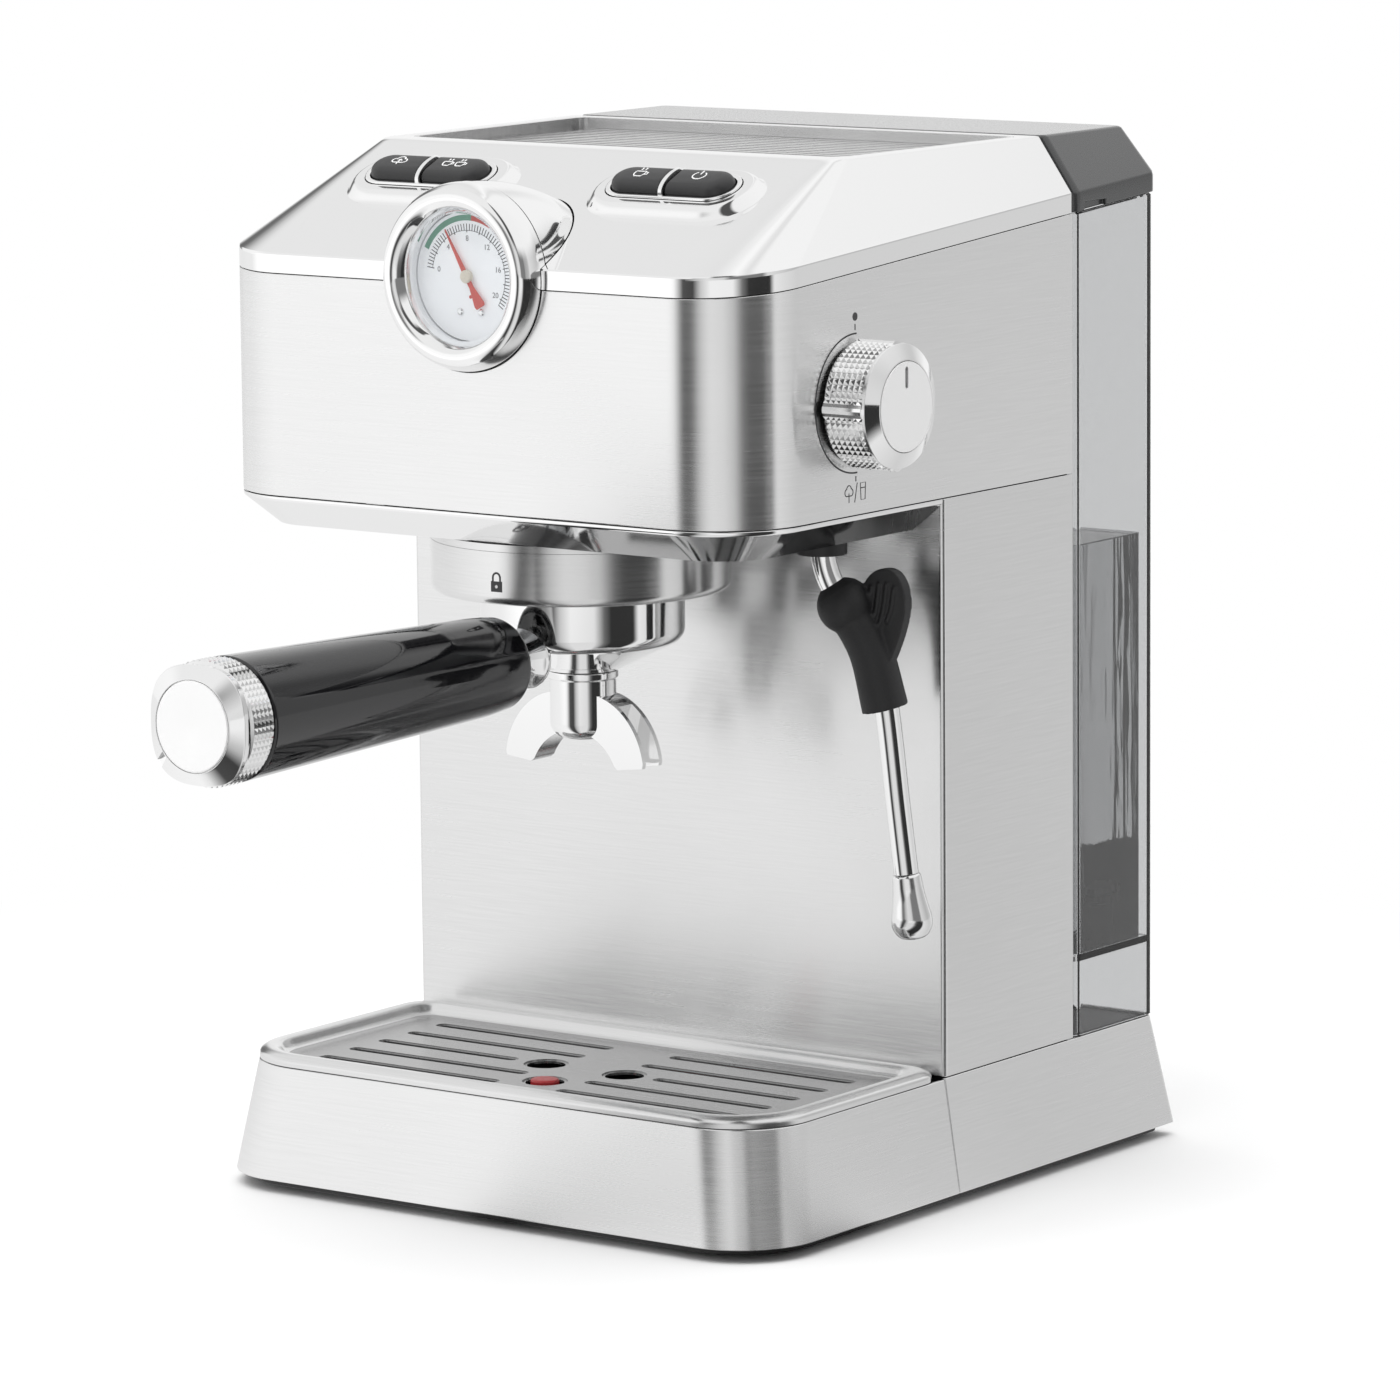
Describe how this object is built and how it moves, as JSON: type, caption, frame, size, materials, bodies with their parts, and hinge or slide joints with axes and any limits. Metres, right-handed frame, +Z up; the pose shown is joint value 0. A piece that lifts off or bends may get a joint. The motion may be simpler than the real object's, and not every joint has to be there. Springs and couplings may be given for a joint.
{
  "type": "espresso machine",
  "caption": "Home espresso machine with portafilter, swivelling steam wand and knob, pressure gauge, push buttons, pull-out drip tray and lift-off rear water tank.",
  "frame": {"origin": "centre of the bounding box's footprint, on the surface the rubber feet stand on", "axes": "+Z up, -Y towards the user (handle and gauge), +X towards the steam knob side"},
  "size_m": [0.2262, 0.3572, 0.3205],
  "materials": {
    "brushed_steel": "stainless steel sheet, fine horizontal brushing",
    "chrome": "mirror polished",
    "black_plastic": "moulded, fine texture",
    "gloss_black": "polished, piano black",
    "grey_plastic": "satin moulded",
    "rubber": "soft matt",
    "clear_plastic": "clear moulded",
    "lens": "clear polished",
    "red_plastic": "satin",
    "dial": "white enamel",
    "aluminium": "satin",
    "brass": "turned",
    "board": "solder mask",
    "silicone": "translucent white"
  },
  "bodies": {
    "machine": {"base_pan": "black_plastic", "foot_front_left": "rubber", "foot_front_right": "rubber", "foot_rear_left": "rubber", "foot_rear_right": "rubber", "rear_base_skirt": "brushed_steel", "power_inlet": "rubber", "chassis": "black_plastic", "column_shell": "brushed_steel", "head_shell": "brushed_steel", "head_trim": "chrome", "head_floor": "aluminium", "top_cover": "chrome", "cup_warmer_plate": "brushed_steel", "button_frame_left": "chrome", "button_frame_right": "chrome", "gauge_housing": "chrome", "gauge_bezel": "chrome", "gauge_lens": "lens", "gauge_dial": "dial", "group_collar": "brushed_steel", "brew_head": "aluminium", "group_gasket": "rubber", "shower_screen": "brushed_steel", "shower_screw": "brushed_steel", "steam_valve": "brass", "wand_feed_pipe": "aluminium", "wand_bush": "black_plastic", "tank_dock": "grey_plastic", "pump": "black_plastic", "boiler": "aluminium", "suction_hose": "silicone", "pressure_pipe": "aluminium", "steam_pipe": "aluminium", "circuit_board": "board"},
    "needle": {"gauge_needle": "red_plastic"},
    "steam_button": {"button_steam": "gloss_black"},
    "two_cups_button": {"button_two_cups": "gloss_black"},
    "one_cup_button": {"button_one_cup": "gloss_black"},
    "power_button": {"button_power": "gloss_black"},
    "portafilter": {"portafilter_body": "chrome", "filter_basket": "brushed_steel", "spout": "chrome", "portafilter_handle": "gloss_black", "handle_knurl_ring": "chrome", "handle_end_cap": "chrome"},
    "knob": {"steam_knob": "chrome", "knob_cap": "aluminium", "valve_stem": "brass"},
    "wand": {"wand_pipe": "chrome", "wand_grip": "rubber", "wand_nozzle": "chrome"},
    "tray": {"tray_tub": "black_plastic", "tray_skirt": "brushed_steel"},
    "grid": {"drip_grid": "brushed_steel"},
    "float": {"overflow_float": "red_plastic"},
    "tank": {"water_tank": "clear_plastic"},
    "lid": {"tank_lid": "grey_plastic"},
    "valve": {"tank_valve": "rubber"}
  },
  "joints": [
    {"name": "press_steam", "type": "slide", "parent": "machine", "child": "steam_button", "axis": [0, 0.3978, -0.9175], "range_m": [0, 0.0015], "stiffness_N_per_m": 400, "springref_m": -0.002},
    {"name": "press_two_cups", "type": "slide", "parent": "machine", "child": "two_cups_button", "axis": [0, 0.3978, -0.9175], "range_m": [0, 0.0015], "stiffness_N_per_m": 400, "springref_m": -0.002},
    {"name": "press_one_cup", "type": "slide", "parent": "machine", "child": "one_cup_button", "axis": [0, 0.3978, -0.9175], "range_m": [0, 0.0015], "stiffness_N_per_m": 400, "springref_m": -0.002},
    {"name": "press_power", "type": "slide", "parent": "machine", "child": "power_button", "axis": [0, 0.3978, -0.9175], "range_m": [0, 0.0015], "stiffness_N_per_m": 400, "springref_m": -0.002},
    {"name": "needle_turn", "type": "hinge", "parent": "machine", "child": "needle", "pos_m": [-0.00643, -0.04895, 0.2872], "axis": [0, 1, 0], "range_deg": [-65, 157]},
    {"name": "knob_turn", "type": "hinge", "parent": "machine", "child": "knob", "pos_m": [0.09473, 0.00675, 0.2502], "axis": [1, 0, 0], "range_deg": [0, 180]},
    {"name": "wand_swing", "type": "hinge", "parent": "machine", "child": "wand", "pos_m": [0.06957, 0.02505, 0.206], "axis": [0, 0, 1], "range_deg": [-95, 8]},
    {"name": "portafilter_twist", "type": "hinge", "parent": "machine", "child": "portafilter", "pos_m": [-0.00643, 0.00625, 0.19], "axis": [0, 0, 1], "range_deg": [-45, 0]},
    {"name": "tray_pull", "type": "slide", "parent": "machine", "child": "tray", "axis": [0, -1, 0], "range_m": [0, 0.115]},
    {"name": "grid_lift", "type": "slide", "parent": "tray", "child": "grid", "axis": [0, 0, 1], "range_m": [0, 0.025]},
    {"name": "float_rise", "type": "slide", "parent": "tray", "child": "float", "axis": [0, 0, 1], "range_m": [0, 0.008]},
    {"name": "tank_lift", "type": "slide", "parent": "machine", "child": "tank", "axis": [0, 0, 1], "range_m": [0, 0.285]},
    {"name": "lid_open", "type": "hinge", "parent": "tank", "child": "lid", "pos_m": [-0.00643, 0.17225, 0.30055], "axis": [-1, 0, 0], "range_deg": [0, 85]},
    {"name": "valve_lift", "type": "slide", "parent": "tank", "child": "valve", "axis": [0, 0, 1], "range_m": [0, 0.003], "stiffness_N_per_m": 120, "springref_m": -0.003}
  ]
}
